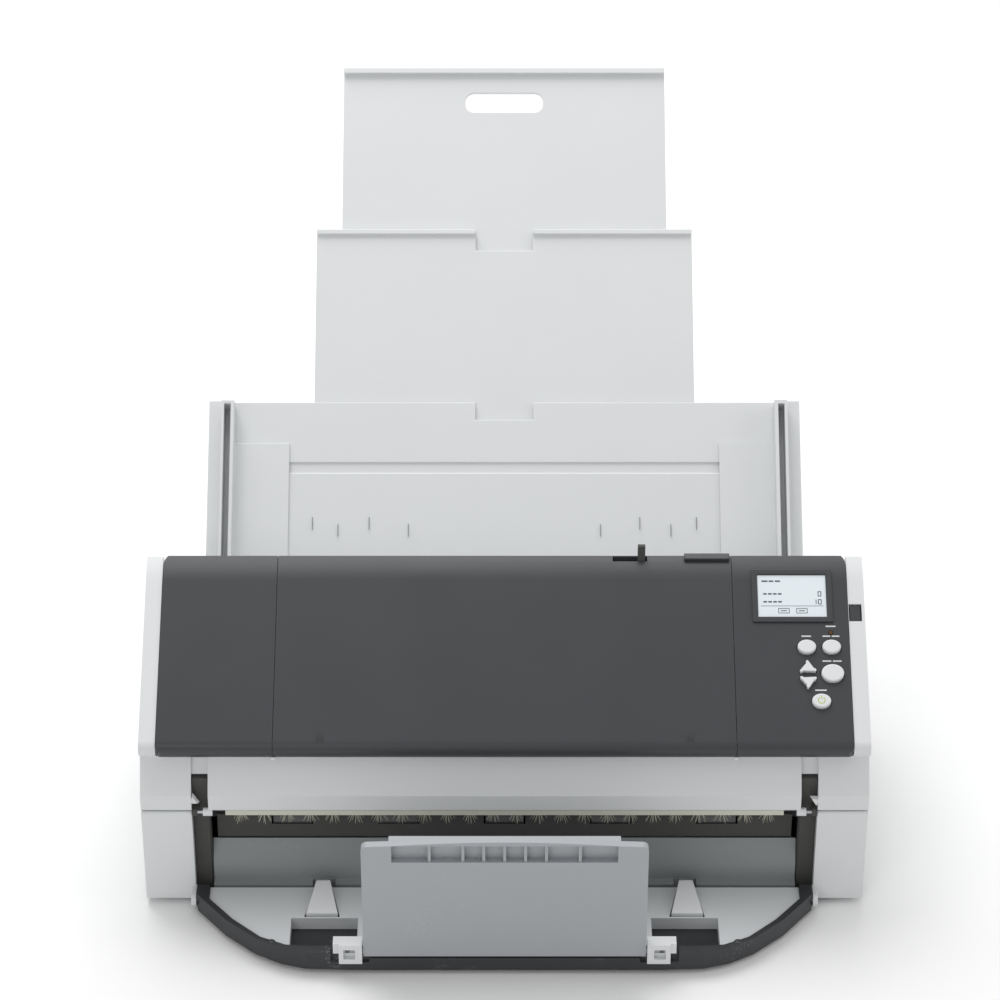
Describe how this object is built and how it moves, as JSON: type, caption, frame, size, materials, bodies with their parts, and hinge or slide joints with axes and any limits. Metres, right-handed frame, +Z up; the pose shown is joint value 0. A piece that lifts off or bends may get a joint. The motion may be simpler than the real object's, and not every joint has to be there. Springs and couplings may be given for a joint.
{
  "type": "sheet fed document scanner",
  "caption": "Wide desktop scanner with a rear paper chute, front-hinged upper unit with operator panel, exit brush, and fold-up stacker tray with an upright stopper.",
  "frame": {"origin": "centre of the machine's footprint box, on the surface it stands on", "axes": "+X the user's right, +Y towards the rear and the paper chute, +Z up"},
  "size_m": [0.38, 0.4228, 0.3149],
  "materials": {
    "pale_shell": "fine moulded grain, pale grey",
    "dark_cover": "fine moulded grain, charcoal, slight sheen",
    "bay_grey": "mid grey moulded plastic",
    "black_plastic": "black moulded plastic",
    "roller_rubber": "matt black rubber",
    "foot_rubber": "matt black rubber",
    "steel_plate": "plain zinc plated steel",
    "scan_glass": "clear scanning glass",
    "display": "pale display window",
    "button_grey": "pale grey moulded plastic",
    "led_lens": "unlit amber lens",
    "circuit_green": "green circuit board",
    "belt_rubber": "black toothed belt",
    "brush_backing": "beige strip",
    "brush_fibre": "beige conductive fibre",
    "stopper_grey": "blue grey moulded plastic",
    "tray_dark": "charcoal moulded plastic"
  },
  "bodies": {
    "base": {"base_pan": "black_plastic", "feet": "foot_rubber", "side_cover_left": "pale_shell", "side_cover_right": "pale_shell", "rear_cover": "pale_shell", "bay_frame": "black_plastic", "bay_wall": "bay_grey", "lower_guide": "black_plastic", "lower_scan_unit": "black_plastic", "lower_glass": "scan_glass", "frame_plates": "steel_plate", "drive_motor": "steel_plate", "drive_belt": "belt_rubber", "main_board": "circuit_green", "dc_inlet": "black_plastic", "usb_port": "steel_plate", "cover_screws": "steel_plate", "hinge_pins": "steel_plate", "chute_panel": "pale_shell", "chute_back": "pale_shell"},
    "upper_unit": {"upper_shell": "pale_shell", "cover_left": "dark_cover", "cover_centre": "dark_cover", "cover_right": "dark_cover", "lcd_bezel": "dark_cover", "lcd_glass": "display", "panel_board": "circuit_green", "check_led": "led_lens", "upper_guide": "black_plastic", "upper_scan_unit": "black_plastic", "upper_glass": "scan_glass", "brush_strip": "brush_backing", "brush_tufts": "brush_fibre", "notch_bar": "dark_cover"},
    "tray": {"tray_frame": "tray_dark", "tray_floor": "pale_shell", "hinge_brackets": "pale_shell"},
    "stopper": {"stopper": "stopper_grey"},
    "riser_left": {"riser_left": "pale_shell"},
    "riser_right": {"riser_right": "pale_shell"},
    "side_guide_right": {"side_guide_right": "pale_shell"},
    "side_guide_left": {"side_guide_left": "pale_shell"},
    "extension_1": {"extension_1": "pale_shell"},
    "extension_2": {"extension_2": "pale_shell"},
    "menu_button": {"menu_button": "button_grey"},
    "stop_button": {"stop_button": "button_grey"},
    "up_button": {"up_button": "button_grey"},
    "down_button": {"down_button": "button_grey"},
    "scan_button": {"scan_button": "button_grey"},
    "power_button": {"power_button": "button_grey"},
    "mode_slider": {"mode_slider": "black_plastic"},
    "release_lever": {"release_lever": "dark_cover"},
    "feed_roller": {"feed_roller": "roller_rubber"},
    "pick_roller": {"pick_roller": "roller_rubber"},
    "eject_roller": {"eject_roller": "roller_rubber"},
    "motor_pulley": {"motor_pulley": "bay_grey"},
    "brake_roller": {"brake_roller": "roller_rubber"},
    "feed_idlers": {"feed_idlers": "roller_rubber"},
    "eject_idlers": {"eject_idlers": "roller_rubber"}
  },
  "joints": [
    {"name": "upper_unit_hinge", "type": "hinge", "parent": "base", "child": "upper_unit", "pos_m": [0, -0.15138, 0.061], "axis": [1, 0, 0], "range_deg": [0, 75]},
    {"name": "tray_fold", "type": "hinge", "parent": "base", "child": "tray", "pos_m": [0, -0.15838, 0.008], "axis": [1, 0, 0], "range_deg": [-80, 0]},
    {"name": "stopper_fold", "type": "hinge", "parent": "tray", "child": "stopper", "pos_m": [0, -0.20738, 0.015], "axis": [1, 0, 0], "range_deg": [0, 80]},
    {"name": "riser_left_tilt", "type": "hinge", "parent": "tray", "child": "riser_left", "pos_m": [-0.0957, -0.17538, 0.012], "axis": [1, 0, 0], "range_deg": [-6, 0], "stiffness_Nm_per_rad": 0.02},
    {"name": "riser_right_tilt", "type": "hinge", "parent": "tray", "child": "riser_right", "pos_m": [0.0957, -0.17538, 0.012], "axis": [1, 0, 0], "range_deg": [-6, 0], "stiffness_Nm_per_rad": 0.02},
    {"name": "side_guide_right_slide", "type": "slide", "parent": "base", "child": "side_guide_right", "axis": [1, 0, 0], "range_m": [-0.1, 0]},
    {"name": "side_guide_left_slide", "type": "slide", "parent": "base", "child": "side_guide_left", "axis": [1, 0, 0], "range_m": [0, 0.1]},
    {"name": "extension_1_slide", "type": "slide", "parent": "base", "child": "extension_1", "axis": [0, 0.7547, 0.6561], "range_m": [-0.098, 0]},
    {"name": "extension_2_slide", "type": "slide", "parent": "extension_1", "child": "extension_2", "axis": [0, 0.7547, 0.6561], "range_m": [-0.094, 0]},
    {"name": "menu_button_press", "type": "slide", "parent": "upper_unit", "child": "menu_button", "axis": [0, 0.5075, -0.8616], "range_m": [0, 0.001], "stiffness_N_per_m": 400},
    {"name": "stop_button_press", "type": "slide", "parent": "upper_unit", "child": "stop_button", "axis": [0, 0.5075, -0.8616], "range_m": [0, 0.001], "stiffness_N_per_m": 400},
    {"name": "up_button_press", "type": "slide", "parent": "upper_unit", "child": "up_button", "axis": [0, 0.5075, -0.8616], "range_m": [0, 0.001], "stiffness_N_per_m": 400},
    {"name": "down_button_press", "type": "slide", "parent": "upper_unit", "child": "down_button", "axis": [0, 0.5075, -0.8616], "range_m": [0, 0.001], "stiffness_N_per_m": 400},
    {"name": "scan_button_press", "type": "slide", "parent": "upper_unit", "child": "scan_button", "axis": [0, 0.5075, -0.8616], "range_m": [0, 0.001], "stiffness_N_per_m": 400},
    {"name": "power_button_press", "type": "slide", "parent": "upper_unit", "child": "power_button", "axis": [0, 0.5075, -0.8616], "range_m": [0, 0.001], "stiffness_N_per_m": 400},
    {"name": "mode_slider_slide", "type": "slide", "parent": "upper_unit", "child": "mode_slider", "axis": [1, 0, 0], "range_m": [-0.013, 0]},
    {"name": "release_lever_tilt", "type": "hinge", "parent": "upper_unit", "child": "release_lever", "pos_m": [0.1855, -0.0828, 0.13482], "axis": [1, 0, 0], "range_deg": [0, 8], "stiffness_Nm_per_rad": 0.02},
    {"name": "feed_spin", "type": "hinge", "parent": "base", "child": "feed_roller", "pos_m": [0, -0.06966, 0.07221], "axis": [1, 0, 0], "continuous": true},
    {"name": "pick_spin", "type": "hinge", "parent": "base", "child": "pick_roller", "pos_m": [0, -0.04949, 0.08086], "axis": [1, 0, 0], "continuous": true},
    {"name": "eject_spin", "type": "hinge", "parent": "base", "child": "eject_roller", "pos_m": [0, -0.132, 0.0465], "axis": [1, 0, 0], "continuous": true},
    {"name": "motor_spin", "type": "hinge", "parent": "base", "child": "motor_pulley", "pos_m": [0, -0.08638, 0.022], "axis": [1, 0, 0], "continuous": true},
    {"name": "brake_spin", "type": "hinge", "parent": "upper_unit", "child": "brake_roller", "pos_m": [0, -0.06157, 0.09853], "axis": [1, 0, 0], "continuous": true},
    {"name": "feed_idler_spin", "type": "hinge", "parent": "upper_unit", "child": "feed_idlers", "pos_m": [0, -0.07584, 0.08522], "axis": [1, 0, 0], "continuous": true},
    {"name": "eject_idler_spin", "type": "hinge", "parent": "upper_unit", "child": "eject_idlers", "pos_m": [0, -0.1361, 0.05821], "axis": [1, 0, 0], "continuous": true}
  ],
  "couplings": [
    {"joint": "stopper_fold", "follows": "tray_fold", "ratio": -1},
    {"joint": "side_guide_left_slide", "follows": "side_guide_right_slide", "ratio": -1},
    {"joint": "pick_spin", "follows": "feed_spin", "ratio": 0.775},
    {"joint": "eject_spin", "follows": "feed_spin", "ratio": 1.4762},
    {"joint": "motor_spin", "follows": "feed_spin", "ratio": 1.0333},
    {"joint": "feed_idler_spin", "follows": "feed_spin", "ratio": -1.3333},
    {"joint": "eject_idler_spin", "follows": "feed_spin", "ratio": -2.0667},
    {"joint": "brake_spin", "follows": "feed_spin", "ratio": -1.0333}
  ]
}
